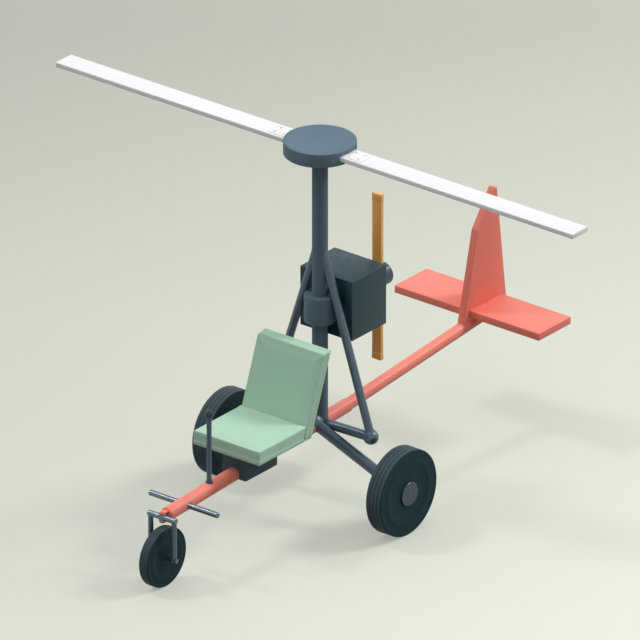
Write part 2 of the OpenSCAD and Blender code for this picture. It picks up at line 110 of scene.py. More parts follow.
class Finish(Nodes):
    """A procedural material on object coordinates."""

    def __init__(self, name, colour, roughness, metallic=0.0, **sockets):
        self.material = bpy.data.materials.new(name)
        self.material.use_nodes = True
        super().__init__(self.material.node_tree)
        self.shader = self.tree.nodes["Principled BSDF"]
        self.colour = colour
        self.normal = None
        self.set(self.shader, "Base Color", (*colour, 1))
        self.set(self.shader, "Roughness", roughness)
        self.set(self.shader, "Metallic", metallic)
        for socket, value in sockets.items():
            self.set(self.shader, socket.replace("_", " "), value)
        self.object = self.add("ShaderNodeTexCoord").outputs["Object"]

    def stretched(self, scale):
        return self.add("ShaderNodeMapping", {"Vector": self.object, "Scale": scale}).outputs[0]

    def noise(self, scale, detail=2.0, stretch=None):
        place = self.stretched(stretch) if stretch else self.object
        inputs = {"Vector": place, "Scale": scale, "Detail": detail}
        return self.add("ShaderNodeTexNoise", inputs).outputs["Fac"]

    def bands(self, scale, axis, distortion=0.0, place=None):
        inputs = {"Vector": place or self.object, "Scale": scale, "Distortion": distortion}
        return self.add("ShaderNodeTexWave", inputs, bands_direction=axis).outputs["Fac"]

    def slope(self, start, per_x, per_y):
        """A value that is start at the origin and changes evenly along x and y, per metre."""
        place = self.add("ShaderNodeSeparateXYZ", {"Vector": self.object})
        value = start
        for axis, rate in (("X", per_x), ("Y", per_y)):
            value = self.add("ShaderNodeMath", {0: place.outputs[axis], 1: rate, 2: value},
                             operation="MULTIPLY_ADD").outputs[0]
        return value

    def ramp(self, value, stops):
        """stops is a list of (place, grey or colour)."""
        node = self.add("ShaderNodeValToRGB", {"Fac": value})
        elements = node.color_ramp.elements
        while len(elements) < len(stops):
            elements.new(0.5)
        for element, (place, colour) in zip(elements, stops):
            element.position = place
            grey = isinstance(colour, (int, float))
            element.color = (colour, colour, colour, 1) if grey else (*colour, 1)
        return node.outputs["Color"]

    def tint(self, value, dark, light, start=0.3, end=0.7):
        """Base colour from dark to light times the finish's own colour."""
        stops = [(start, [c * dark for c in self.colour]), (end, [c * light for c in self.colour])]
        self.set(self.shader, "Base Color", self.ramp(value, stops))

    def rough(self, value, lowest, highest):
        self.set(self.shader, "Roughness", self.ramp(value, [(0.3, lowest), (0.7, highest)]))

    def bump(self, height, distance, strength=1.0):
        inputs = {"Height": height, "Distance": distance, "Strength": strength}
        node = self.add("ShaderNodeBump", inputs)
        if self.normal:
            self.tree.links.new(self.normal, node.inputs["Normal"])
        self.normal = node.outputs["Normal"]
        self.set(self.shader, "Normal", self.normal)


def paint(name, colour, roughness, peel=0.00025, shine=0.36):
    f = Finish(name, colour, roughness, Specular_IOR_Level=shine, Coat_Weight=0.06,
               Coat_Roughness=0.25)
    f.tint(f.noise(2.2, 3.0), 0.955, 1.02)
    f.rough(f.noise(9.0, 4.0), roughness - 0.06, roughness + 0.08)
    f.bump(f.noise(260.0, 2.0), peel, 0.5)
    return f.material


def metal(name, colour, roughness, grain, metallic, coat=0.0):
    f = Finish(name, colour, roughness, metallic, Coat_Weight=coat, Coat_Roughness=0.34)
    f.tint(f.noise(grain, 4.0), 0.93, 1.06)
    f.rough(f.noise(grain / 4, 4.0), roughness - 0.03, roughness + 0.05)
    f.bump(f.noise(14.0, 3.0), 0.0002, 0.1)
    return f.material


def cast(name, colour, roughness, grain=420.0):
    f = Finish(name, colour, roughness, Specular_IOR_Level=0.3)
    f.tint(f.noise(5.0, 4.0), 0.88, 1.1)
    f.rough(f.noise(20.0, 4.0), roughness - 0.07, roughness + 0.1)
    f.bump(f.noise(grain, 3.0), 0.0005, 0.6)
    return f.material


def rubber(name, colour, tread):
    """Dark side walls, and a greyer tread where the surface faces away from the axle: painted
    light, standing in for the light that falls on the tread.
    """
    f = Finish(name, colour, 0.62, Specular_IOR_Level=0.12)
    normal = f.add("ShaderNodeTexCoord").outputs["Normal"]
    sideways = f.add("ShaderNodeSeparateXYZ", {"Vector": normal}).outputs["X"]
    patchy = f.math("MULTIPLY", f.noise(6.0, 5.0), 0.2)
    wall = f.math("ADD", f.math("ABSOLUTE", sideways), patchy)
    # the tread colour is painted light, a greyer tone that stands in for the light on the tread
    f.set(f.shader, "Base Color", f.ramp(wall, [(0.4, tread), (0.8, colour)]))
    f.rough(f.noise(30.0, 4.0), 0.5, 0.66)
    f.bump(f.noise(700.0, 2.0), 0.0003, 0.5)
    f.bump(f.noise(60.0, 3.0), 0.0006, 0.2)
    return f.material


def woven(name, colour):
    """A plain weave with a slight melange."""
    f = Finish(name, colour, 0.9, Sheen_Weight=0.25, Sheen_Roughness=0.5)
    warp = f.bands(410.0, "X", 0.6)
    weft = f.bands(410.0, "DIAGONAL", 0.6, f.stretched((0.0, 1.0, 1.0)))
    threads = f.math("MAXIMUM", warp, weft)
    melange = f.math("ADD", f.math("MULTIPLY", threads, 0.3), f.noise(90.0, 5.0))
    f.tint(melange, 0.93, 1.04, 0.4, 0.95)
    f.bump(threads, 0.0007, 0.6)
    f.bump(f.noise(26.0, 4.0), 0.0012, 0.25)
    return f.material


def laminated_wood(name, colour):
    """Planks glued front to back, grain running along z, under varnish."""
    f = Finish(name, colour, 0.4, Coat_Weight=0.35, Coat_Roughness=0.15)
    grain = f.noise(1.0, 6.0, (160.0, 160.0, 5.0))
    rings = f.bands(26.0, "X", 5.0, f.stretched((1.0, 1.0, 0.06)))
    f.tint(f.math("ADD", f.math("MULTIPLY", rings, 0.45), grain), 0.92, 1.1, 0.35, 0.95)
    f.bump(grain, 0.0003, 0.35)
    return f.material


def gelcoat(name, colour):
    f = Finish(name, colour, 0.34, Coat_Weight=0.3, Coat_Roughness=0.15)
    f.tint(f.noise(1.6, 4.0), 0.975, 1.0)
    f.rough(f.noise(8.0, 5.0), 0.28, 0.42)
    f.bump(f.noise(40.0, 3.0), 0.0002, 0.2)
    return f.material


CORAL = (0.98, 0.262, 0.198)
SLATE = (0.120, 0.178, 0.228)
MINT = (0.455, 0.71, 0.535)
FINISHES = {
    "coral_tube": paint("coral_tube_paint", CORAL, 0.46),
    "coral_skin": paint("coral_skin_paint", CORAL, 0.5, 0.0004),
    "slate_paint": paint("slate_paint", SLATE, 0.56, shine=0.15),
    "engine_casing": cast("engine_casting", (0.012, 0.046, 0.063), 0.38),
    "dark_steel": metal("dark_steel", (0.070, 0.114, 0.155), 0.36, 130.0, 0.2, 0.4),
    "dark_alloy": metal("dark_alloy", (0.040, 0.066, 0.094), 0.32, 90.0, 0.1),
    "bright_steel": metal("bright_steel", (0.155, 0.18, 0.215), 0.3, 60.0, 0.85),
    "tank_plastic": cast("tank_plastic", (0.052, 0.088, 0.115), 0.55, 900.0),
    "seat_shell": paint("seat_shell_gel", MINT, 0.5, 0.0004),
    "seat_fabric": woven("seat_weave", MINT),
    "knob_plastic": cast("knob_plastic", (0.035, 0.050, 0.062), 0.35, 900.0),
    "blade_skin": gelcoat("blade_gelcoat", (0.89, 0.905, 0.895)),
    "propeller_wood": laminated_wood("propeller_wood", (1.0, 0.475, 0.118)),
    # the tyre's second colour is its tread's, painted greyer to stand in for the light on the tread
    "tyre_rubber": rubber("tyre_rubber", (0.012, 0.036, 0.046), (0.062, 0.092, 0.11)),
}
SLOT_OF = {s["node"]: s["material_slot"] for s in frame["record"]["subparts"]}
# the steering head is painted with the keel and the clamp with the mast, the nose rim is as dark
# as its tyre, and the drive housing is a lighter metal than the rest of the dark alloy
SLOT_OF.update(steering_head="coral_tube", engine_clamp="slate_paint", nose_rim="tyre_rubber",
               drive_housing="bright_steel")
for node, cad in frame["nodes"].items():
    cad.data.materials.clear()
    cad.data.materials.append(FINISHES[SLOT_OF[node]])


# ---------------------------------------------------------------- making pieces

def piece(name, bm, body, slot, replaces=(), smooth=35.0):
    """Turns a bmesh into a piece that rides on a body, smooth below that angle in degrees."""
    mesh = bpy.data.meshes.new(name)
    bm.to_mesh(mesh)
    bm.free()
    made = bpy.data.objects.new(name, mesh)
    scene.collection.objects.link(made)
    mesh.materials.append(FINISHES[slot])
    mesh.polygons.foreach_set("use_smooth", [True] * len(mesh.polygons))
    mesh.set_sharp_from_angle(angle=math.radians(smooth))
    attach(made, body)
    if replaces:
        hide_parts(*replaces)
    return made


def facing(axis, place):
    """A matrix that turns +z to the axis and moves the origin to the place."""
    return Matrix.Translation(place) @ axis.to_track_quat("Z", "Y").to_matrix().to_4x4()


def turned(bm, profile, matrix, steps=96):
    """Spins (radius, height) points, a closed loop or one that ends on the axis, round +z."""
    points = [bm.verts.new((r, 0, h)) for r, h in profile]
    ends_on_axis = profile[0][0] == 0 and profile[-1][0] == 0
    pairs = list(zip(points, points[1:])) + ([] if ends_on_axis else [(points[-1], points[0])])
    edges = [bm.edges.new(pair) for pair in pairs]
    bmesh.ops.spin(bm, geom=points + edges, axis=(0, 0, 1), cent=(0, 0, 0), angle=math.tau,
                   steps=steps, use_merge=True)
    # other shapes may be in the same bmesh, so only what hangs together with the points is moved
    whole = set(points)
    stack = list(whole)
    while stack:
        for edge in stack.pop().link_edges:
            for v in edge.verts:
                if v not in whole:
                    whole.add(v)
                    stack.append(v)
    bmesh.ops.remove_doubles(bm, verts=list(whole), dist=1e-6)
    alive = [v for v in whole if v.is_valid]
    faces = list({f for v in alive for f in v.link_faces})
    bmesh.ops.recalc_face_normals(bm, faces=faces)
    bmesh.ops.transform(bm, matrix=matrix, verts=alive)


def block(bm, lowest, highest, bevel, segments=3):
    """A box between two corners, with rounded edges."""
    lowest, highest = Vector(lowest), Vector(highest)
    size = Matrix.Diagonal((*(highest - lowest), 1))
    matrix = Matrix.Translation((highest + lowest) / 2) @ size
    made = bmesh.ops.create_cube(bm, size=1, matrix=matrix)
    round_edges(bm, {e for v in made["verts"] for e in v.link_edges}, bevel, segments)


def round_edges(bm, edges, bevel, segments=3):
    bmesh.ops.bevel(bm, geom=list(edges), offset=bevel, offset_type="OFFSET", segments=segments,
                    profile=0.5, affect="EDGES", material=-1, clamp_overlap=True)


def prism(bm, outline, half_width):
    """An outline in y and z made solid from -half_width to half_width in x."""
    ring = [bm.verts.new((-half_width, y, z)) for y, z in outline]
    face = bm.faces.new(ring)
    grown = bmesh.ops.extrude_face_region(bm, geom=[face])["geom"]
    verts = [g for g in grown if isinstance(g, bmesh.types.BMVert)]
    bmesh.ops.translate(bm, verts=verts, vec=(2 * half_width, 0, 0))
    bmesh.ops.recalc_face_normals(bm, faces=bm.faces)


def bolt(bm, place, axis, size, head=0.6, washer=True):
    """A hexagon head of that width across corners, on a washer, standing on the place."""
    turn = facing(axis, place)
    if washer:
        w = size * 0.72
        rim = [(0, 0), (w, 0), (w, size * 0.1), (w * 0.96, size * 0.14), (0, size * 0.14)]
        turned(bm, rim, turn, 20)
    made = bmesh.ops.create_cone(bm, segments=6, radius1=size / 2, radius2=size / 2,
                                 depth=size * head, cap_ends=True,
                                 matrix=turn @ Matrix.Translation((0, 0, size * (0.14 + head / 2))))
    top = [f for f in {f for v in made["verts"] for f in v.link_faces}
           if f.normal.dot(axis) > 0.9]
    round_edges(bm, {e for f in top for e in f.edges}, size * 0.07, 2)


def rivet(bm, place, axis, size=8 * MM):
    cap = [(0, 0), (size / 2, 0), (size * 0.42, size * 0.14), (size * 0.2, size * 0.24),
           (0, size * 0.27)]
    turned(bm, cap, facing(axis, place), 8)


def fillet(corners, radius, steps=6):
    """A closed path through the corners, each rounded by that radius."""
    path = []
    around = zip(corners[-1:] + corners[:-1], corners, corners[1:] + corners[:1])
    for before, corner, after in around:
        a = corner + (before - corner).normalized() * radius
        b = corner + (after - corner).normalized() * radius
        for i in range(steps + 1):
            t = i / steps
            path.append(a * (1 - t) ** 2 + corner * 2 * t * (1 - t) + b * t ** 2)
    return path


def spaced(path, step):
    """Points a step apart along a closed path."""
    made, left = [], 0.0
    for a, b in zip(path, path[1:] + path[:1]):
        length = (b - a).length
        while left < length:
            made.append(a.lerp(b, left / length))
            left += step
        left -= length
    return made


def cord_along(name, path, radius, body, slot, ripple=0.0, resolution=3):
    """A round bead along a closed path; ripple makes it swell and shrink like a weld."""
    curve = bpy.data.curves.new(name, "CURVE")
    curve.dimensions = "3D"
    curve.bevel_depth = radius
    curve.bevel_resolution = resolution
    spline = curve.splines.new("POLY")
    spline.points.add(len(path) - 1)
    spline.use_cyclic_u = True
    for i, (point, p) in enumerate(zip(spline.points, path)):
        point.co = (*p, 1)
        point.radius = 1 + ripple * (i % 2)
    drawn = bpy.data.objects.new(name + "_path", curve)
    scene.collection.objects.link(drawn)
    bm = bmesh.new()
    bm.from_mesh(drawn.to_mesh())
    bpy.data.objects.remove(drawn)
    bmesh.ops.remove_doubles(bm, verts=bm.verts, dist=1e-6)
    bmesh.ops.recalc_face_normals(bm, faces=bm.faces)
    return piece(name, bm, body, slot, smooth=60)


def cope(start, along, radius, axis_place, axis, axis_radius, steps=72):
    """The closed curve where a tube from start along a direction meets a wider round bar."""
    along, axis = along.normalized(), axis.normalized()
    e1 = along.cross(axis).normalized()
    e2 = along.cross(e1).normalized()
    flat = lambda v: v - axis * v.dot(axis)
    path = []
    for i in range(steps):
        t = math.tau * i / steps
        p = flat(start + radius * (e1 * math.cos(t) + e2 * math.sin(t)) - axis_place)
        d = flat(along)
        half_b, c = p.dot(d), p.dot(p) - axis_radius ** 2
        root = math.sqrt(max(half_b ** 2 - d.dot(d) * c, 0))
        s = (-half_b + root) / d.dot(d)
        path.append(start + radius * (e1 * math.cos(t) + e2 * math.sin(t)) + along * s)
    return path


def circle(place, axis, radius, steps=72):
    turn = facing(axis, place)
    return [turn @ Vector((radius * math.cos(math.tau * i / steps),
                           radius * math.sin(math.tau * i / steps), 0)) for i in range(steps)]


# ---------------------------------------------------------------- shared places

mast = middle("mast")
mast_radius = half_size("mast").x
keel_radius = half_size("keel_tube").x
bar = middle("foot_bar")
king_pin = middle("fork_crown")
keel_axis = (bar - king_pin).normalized()
hub_radius = half_size("gear_hub").x
hub = Vector((0, middle("left_tyre").y, high("gear_hub").z - hub_radius))
leg_radius = half_size("left_gear_leg").y


def keel_at(y):
    """The keel's axis at that y."""
    return bar + keel_axis * ((y - bar.y) / keel_axis.y)


# ---------------------------------------------------------------- tyres

def tyre(name, node, body, rim_radius, grooves):
    """A ribbed tyre in the CAD tyre's own room, with a bead and a sidewall ring.

    The grooves are places across the tread, as shares of half its width."""
    r, w = half_size(node).z, half_size(node).x
    wall, groove, depth = 1 * MM, 0.03 * w, 0.01 * r
    side = [(rim_radius - 2 * MM, w - 9 * MM), (rim_radius + 2 * MM, w - 2 * MM),
            (rim_radius + 7 * MM, w), (rim_radius + 13 * MM, w - wall), (r * 0.70, w - wall),
            (r * 0.71, w), (r * 0.74, w), (r * 0.75, w - wall), (r - 20 * MM, w - wall),
            (r - 12 * MM, w), (r - 7 * MM, w), (r - 1.2 * MM, w - 5 * MM), (r, w - 9 * MM)]
    tread = []
    for place in grooves:
        h = place * w
        tread += [(r, h + groove), (r - depth, h + groove * 0.7), (r - depth, h - groove * 0.7),
                  (r, h - groove)]
    profile = side + tread + [(a, -b) for a, b in reversed(side)]
    bm = bmesh.new()
    turned(bm, profile, facing(X, middle(node)), 144)
    return piece(name, bm, body, "tyre_rubber", [node], smooth=28)


GROOVES = (0.46, 0.0, -0.46)
main_rim_radius = half_size("left_rim").z
for side in SIDES:
    tyre(side + "_ribbed_tyre", side + "_tyre", side + "_wheel", main_rim_radius, GROOVES)
tyre("nose_ribbed_tyre", "nose_tyre", "nose_wheel", half_size("nose_rim").z, GROOVES)


def wheel_hub(side, sign):
    """The rim, with a ring groove on its outer face and a bearing seat in its inner one."""
    node = side + "_rim"
    r, bore = main_rim_radius, 22 * MM
    inner, outer = (low(node).x, high(node).x) if sign > 0 else (high(node).x, low(node).x)
    width = abs(outer - inner)
    profile = [(0, width), (24 * MM, width), (25 * MM, width - 1 * MM), (27 * MM, width - 1 * MM),
               (28 * MM, width), (r - 3 * MM, width), (r, width - 3 * MM), (r, 2 * MM),
               (r - 2 * MM, 0), (bore + 14 * MM, 0), (bore + 12 * MM, 6 * MM), (bore, 6 * MM),
               (bore, 20 * MM), (0, 20 * MM)]
    bm = bmesh.new()
    turned(bm, profile, facing(X * sign, Vector((inner, middle(node).y, middle(node).z))), 96)
    piece(side + "_wheel_hub", bm, side + "_wheel", "dark_alloy", [node], smooth=30)


for side, sign in SIDES.items():
    wheel_hub(side, sign)


# ---------------------------------------------------------------- rotor

def rotor_hub():
    """The hub disc, with a raised rim on top, and below it a recess and the spindle's bore."""
    lo, hi, c = low("rotor_hub"), high("rotor_hub"), middle("rotor_hub")
    r, h = (hi.x - lo.x) / 2, hi.z - lo.z
    dish, bore, bore_depth = 0.8 * MM, 27 * MM, 30 * MM
    profile = [(0, h - dish), (r - 30 * MM, h - dish), (r - 26 * MM, h), (r - 5 * MM, h),
               (r - 1.5 * MM, h - 1.5 * MM), (r, h - 5 * MM), (r, 5 * MM), (r - 5 * MM, 0),
               (56 * MM, 0), (54 * MM, 3 * MM), (bore, 3 * MM), (bore, bore_depth),
               (0, bore_depth)]
    bm = bmesh.new()
    turned(bm, profile, facing(Z, Vector((c.x, c.y, lo.z))), 128)
    piece("rotor_hub_disc", bm, "rotor", "slate_paint", ["rotor_hub"], smooth=30)


def rotor_blade(side, sign):
    """A blade with a cap near its tip, and root plates above and below it, bolted through."""
    node = side + "_rotor_blade"
    lo, hi, c = low(node), high(node), middle("rotor_hub")
    hub_edge = half_size("rotor_hub").x
    bm = bmesh.new()
    block(bm, lo, hi, 4 * MM)
    piece(side + "_blade", bm, "rotor", "blade_skin", [node])

    tip = hi.x if sign > 0 else lo.x
    a, b = sorted((tip - sign * 34 * MM, tip - sign * 1 * MM))
    grow = 0.8 * MM
    bm = bmesh.new()
    block(bm, (a, lo.y - grow, lo.z - grow), (b, hi.y + grow, hi.z + grow), 3.5 * MM)
    piece(side + "_blade_tip", bm, "rotor", "blade_skin")

    plate, sunk, inset = 4 * MM, 0.5 * MM, 18 * MM
    a, b = sorted((sign * (hub_edge - 12 * MM), sign * (hub_edge + 150 * MM)))
    bm = bmesh.new()
    for z0, z1 in ((hi.z, hi.z + plate), (lo.z - plate, lo.z)):
        block(bm, (a, lo.y + inset, z0 - sunk), (b, hi.y - inset, z1), 1.5 * MM, 2)
    piece(side + "_blade_root_plates", bm, "rotor", "blade_skin")

    first, apart, across = 34 * MM, 74 * MM, 36 * MM
    bm = bmesh.new()
    for x in (hub_edge + first, hub_edge + first + apart):
        for y in (c.y - across, c.y + across):
            bolt(bm, Vector((sign * x, y, hi.z + plate)), Z, 13 * MM, 0.45)
            bolt(bm, Vector((sign * x, y, lo.z - plate)), -Z, 13 * MM, 0.45)
    piece(side + "_blade_root_bolts", bm, "rotor", "blade_skin")


rotor_hub()
for side, sign in SIDES.items():
    rotor_blade(side, sign)


# ---------------------------------------------------------------- engine and propeller

def engine():
    """The engine's block, and the bolts round the clamp that holds it to the mast."""
    bm = bmesh.new()
    block(bm, low("engine"), high("engine"), 5 * MM, 4)
    piece("engine_casing", bm, "airframe", "engine_casing", ["engine"], smooth=30)
    clamp = middle("engine_clamp")
    radius = half_size("engine_clamp").x
    clamp_height = high("engine_clamp").z - low("engine_clamp").z
    bm = bmesh.new()
    for side in (-1, 1):
        # ahead of the mast and to its side
        out = Vector((side * 0.62, -0.785, 0)).normalized()
        for share in (-0.32, 0.32):
            on_axis = Vector((0, mast.y, clamp.z + share * clamp_height))
            bolt(bm, on_axis + out * radius, out, 14 * MM, 0.25, washer=False)
    piece("clamp_bolts", bm, "airframe", "slate_paint")


def propeller_hub(radius, face):
    """The face plate, with a spinner in its middle, and six bolts round it."""
    plate = radius - 14 * MM
    bm = bmesh.new()
    turned(bm, [(0, 0), (plate, 0), (plate, 5 * MM), (plate - 3 * MM, 8 * MM), (30 * MM, 8 * MM),
                (26 * MM, 16 * MM), (16 * MM, 22 * MM), (0, 23 * MM)],
           facing(Y, face - Y * 1 * MM), 72)
    piece("propeller_face_plate", bm, "propeller", "dark_steel", smooth=30)
    bolts = 6
    bm = bmesh.new()
    for i in range(bolts):
        t = math.tau * (i + 0.5) / bolts
        out = Vector((math.cos(t), 0, math.sin(t)))
        bolt(bm, face + out * (radius * 0.6) + Y * 7 * MM, Y, 15 * MM, 0.5)
    piece("propeller_bolts", bm, "propeller", "bright_steel")


def propeller():
    """The blade, its hub's fittings, its tip sheaths, and the ring where the drive housing
    meets the engine."""
    lo, hi = low("propeller"), high("propeller")
    axis_z = middle("propeller").z
    radius = half_size("propeller_hub").x
    bm = bmesh.new()
    block(bm, lo, hi, 7 * MM, 4)
    piece("propeller_blade", bm, "propeller", "propeller_wood", ["propeller"])
    propeller_hub(radius, Vector((0, high("propeller_hub").y, axis_z)))

    grow, gap, reach = 0.7 * MM, 1 * MM, 60 * MM
    bm = bmesh.new()
    for z0, z1 in ((lo.z + gap, lo.z + reach), (hi.z - reach, hi.z - gap)):
        block(bm, (lo.x - grow, lo.y - grow, z0), (hi.x + grow, hi.y + grow, z1), 6 * MM, 4)
    piece("propeller_tip_sheaths", bm, "propeller", "propeller_wood")

    inside, outside, thick = radius - 2 * MM, radius + 14 * MM, 12 * MM
    bm = bmesh.new()
    turned(bm, [(inside, 0), (outside, 0), (outside, thick - 3 * MM),
                (outside - 3 * MM, thick), (inside, thick)],
           facing(Y, Vector((0, low("drive_housing").y, axis_z))), 96)
    piece("drive_flange", bm, "airframe", "dark_alloy", smooth=30)


engine()
propeller()


# ---------------------------------------------------------------- seat

def inflate(pad, pinned, cap, pressure=4.0, frames=20):
    """Fills the pad by cloth pressure, with the pinned points held and no point moving past cap."""
    rest = [v.co.copy() for v in pad.data.vertices]
    group = pad.vertex_groups.new(name="held")
    group.add([i for i, p in enumerate(rest) if pinned(p)], 1.0, "REPLACE")
    cloth = pad.modifiers.new("filling", "CLOTH")
    settings = cloth.settings
    settings.quality = 5
    settings.mass = 0.25
    settings.tension_stiffness = settings.compression_stiffness = 12
    settings.bending_stiffness = 0.8
    settings.use_pressure = True
    settings.uniform_pressure_force = pressure
    settings.vertex_group_mass = "held"
    settings.effector_weights.gravity = 0
    cloth.point_cache.frame_end = frames
    for f in range(1, frames + 1):
        scene.frame_set(f)
    filled = pad.evaluated_get(bpy.context.evaluated_depsgraph_get()).to_mesh()
    moved = [v.co.copy() for v in filled.vertices]
    pad.modifiers.remove(cloth)
    pad.vertex_groups.clear()
    scene.frame_set(1)
    for v, old, new in zip(pad.data.vertices, rest, moved):
        step = new - old
        if step.length > 1e-9:
            v.co = old + step.normalized() * cap * math.tanh(step.length / cap)


def cushion(name, node, outline, half_width, pinned, cap, seams):
    """A boxed foam cushion from its outline in y and z, filled, then piped along its seams."""
    start = 1 * MM
    centre = Vector((0, sum(y for y, z in outline) / len(outline),
                     sum(z for y, z in outline) / len(outline)))
    shrunk = []
    for y, z in outline:
        d = centre - Vector((0, y, z))
        shrunk.append((y + math.copysign(start, d.y), z + math.copysign(start, d.z)))
    bm = bmesh.new()
    prism(bm, shrunk, half_width - start)
    round_edges(bm, bm.edges, 7 * MM, 3)
    pad = piece(name, bm, "airframe", "seat_fabric", [node], smooth=180)
    remesh = pad.modifiers.new("even", "REMESH")
    remesh.mode = "VOXEL"
    remesh.voxel_size = 8 * MM
    even = bpy.data.meshes.new_from_object(pad.evaluated_get(bpy.context.evaluated_depsgraph_get()))
    pad.modifiers.clear()
    pad.data = even
    inflate(pad, pinned, cap)
    for v in pad.data.vertices:
        v.co += Vector(v.normal) * 0.9 * MM * noise.noise(v.co * 14)
    finer = pad.modifiers.new("finer", "SUBSURF")
    finer.levels = finer.render_levels = 1
    pad.data.polygons.foreach_set("use_smooth", [True] * len(pad.data.polygons))
    surface = BVHTree.FromObject(pad, bpy.context.evaluated_depsgraph_get())
    for seam, corners in seams.items():
        path = spaced(fillet(corners, 14 * MM), 6 * MM)
        snapped = [surface.find_nearest(p)[0] for p in path]
        smooth = [(a + 2 * b + c) / 4 for a, b, c in
                  zip(snapped[-1:] + snapped[:-1], snapped, snapped[1:] + snapped[:1])]
        cord_along(name + "_" + seam, smooth, 2.4 * MM, "airframe", "seat_fabric")


shell_lo, shell_hi = low("seat_shell"), high("seat_shell")
pad_lo, pad_hi = low("seat_cushion"), high("seat_cushion")
back_lo, back_hi = low("back_cushion"), high("back_cushion")
seat_half = pad_hi.x
seat_top = shell_hi.z
seat_gap = 1 * MM
# the back cushion is a leaning slab: its depth in y is its own thickness plus the lean
lean = (pad_hi.y - back_lo.y + seat_gap) / (pad_hi.z - pad_lo.z)
back_thick = (back_hi.y - back_lo.y) - lean * (back_hi.z - back_lo.z)
shell_thick = pad_lo.z - shell_lo.z
out_of_back = Vector((0, 1, -lean)).normalized()


def front(z):
    """The back cushion's front face, in y, at that height."""
    return back_lo.y + lean * (z - back_lo.z)


def rear(z):
    """The back cushion's rear face, where the shell begins."""
    return front(z) + back_thick


def shell_rear(z):
    return rear(z) + (shell_hi.y - back_hi.y)


def cushions():
    """Both cushions wrap the shell's edge, all but its outermost millimetre."""
    under = pad_lo.z - shell_thick + seat_gap
    seat_outline = [(pad_lo.y, under), (front(under) - seat_gap, under),
                    (front(pad_hi.z) - seat_gap, pad_hi.z), (pad_lo.y, pad_hi.z)]
    back_outline = [(front(back_lo.z), back_lo.z), (shell_rear(back_lo.z) - seat_gap, back_lo.z),
                    (shell_rear(seat_top) - seat_gap, seat_top), (front(seat_top), seat_top)]
    held, cap, edge = 12 * MM, 4 * MM, 4 * MM
    w = seat_half - edge

    y0, y1 = pad_lo.y + edge, front(pad_hi.z) - seat_gap - edge
    seam = [Vector((x, y, pad_hi.z)) for x, y in ((-w, y0), (w, y0), (w, y1), (-w, y1))]
    cushion("seat_pad", "seat_cushion", seat_outline, seat_half,
            lambda p: p.z < pad_lo.z + held, cap, {"upper_piping": seam})

    z0, z1 = back_lo.z + edge, seat_top - edge
    seam = [Vector((x, front(z), z)) for x, z in ((-w, z0), (w, z0), (w, z1), (-w, z1))]
    cushion("back_pad", "back_cushion", back_outline, seat_half,
            lambda p: (p - Vector((0, rear(p.z), p.z))).dot(out_of_back) > -held, cap,
            {"front_piping": seam})


def seat_shell():
    """Pan and back in one, with rolled edges, a little in from the cushions' edges."""
    lip, floor, pan = 4 * MM, shell_lo.z, shell_lo.z + shell_thick
    outline = [(shell_lo.y + lip, floor), (shell_rear(floor), floor),
               (shell_rear(seat_top), seat_top), (rear(seat_top), seat_top), (rear(pan), pan),
               (shell_lo.y + lip, pan)]
    bm = bmesh.new()
    prism(bm, outline, seat_half - lip)
    round_edges(bm, bm.edges, 3.5 * MM, 3)
    piece("seat_shell_moulding", bm, "airframe", "seat_shell", ["seat_shell"])


def shell_rib(side, sign):
    """A stiffening rib up the back of the shell."""
    foot, head = shell_lo.z + 60 * MM, seat_top - 70 * MM
    deep, slant, sunk = 9 * MM, 14 * MM, 3 * MM
    outline = [(shell_rear(foot), foot), (shell_rear(foot) + deep, foot + slant),
               (shell_rear(head) + deep, head - slant), (shell_rear(head), head),
               (shell_rear(head) - sunk, head), (shell_rear(foot) - sunk, foot)]
    bm = bmesh.new()
    prism(bm, outline, 16 * MM)
    bmesh.ops.translate(bm, verts=bm.verts, vec=(sign * seat_half * 0.52, 0, 0))
    round_edges(bm, bm.edges, 3 * MM, 3)
    piece(side + "_shell_rib", bm, "airframe", "seat_shell")


def seat_tank():
    """The box under the seat: a moulded tank with a joint round its middle."""
    lo, hi = low("seat_box"), high("seat_box")
    bm = bmesh.new()
    block(bm, lo, hi, 12 * MM, 4)
    piece("seat_tank", bm, "airframe", "tank_plastic", ["seat_box"])
    z = (lo.z + hi.z) / 2
    corners = [Vector((x, y, z)) for x, y in
               ((lo.x, lo.y), (hi.x, lo.y), (hi.x, hi.y), (lo.x, hi.y))]
    cord_along("tank_joint", spaced(fillet(corners, 13 * MM), 8 * MM), 2 * MM, "airframe",
               "tank_plastic")


def shell_bolts():
    """Two rows of bolt heads on the shell's back."""
    bm = bmesh.new()
    for side in (-1, 1):
        for share in (0.25, 0.5, 0.75):
            z = shell_lo.z + share * (seat_top - shell_lo.z)
            bolt(bm, Vector((side * seat_half * 0.86, shell_rear(z), z)), out_of_back, 12 * MM, 0.3)
    piece("shell_bolts", bm, "airframe", "dark_steel")


cushions()
seat_shell()
for side, sign in SIDES.items():
    shell_rib(side, sign)
seat_tank()
shell_bolts()


# ---------------------------------------------------------------- tail

RIVET_INSET = 16 * MM
RIVET_STEP = 0.055


def outline_of(points):
    """The convex outline, in y and z, of points that share one x, anticlockwise."""
    flat = sorted({(round(p.y, 5), round(p.z, 5)) for p in points})

    def chain(order):
        hull = []
        for p in order:
            while len(hull) > 1 and ((hull[-1][0] - hull[-2][0]) * (p[1] - hull[-2][1])
                                     - (hull[-1][1] - hull[-2][1]) * (p[0] - hull[-2][0])) <= 1e-7:
                hull.pop()
            hull.append(p)
        return hull[:-1]

    return [Vector((0, y, z)) for y, z in chain(flat) + chain(flat[::-1])]


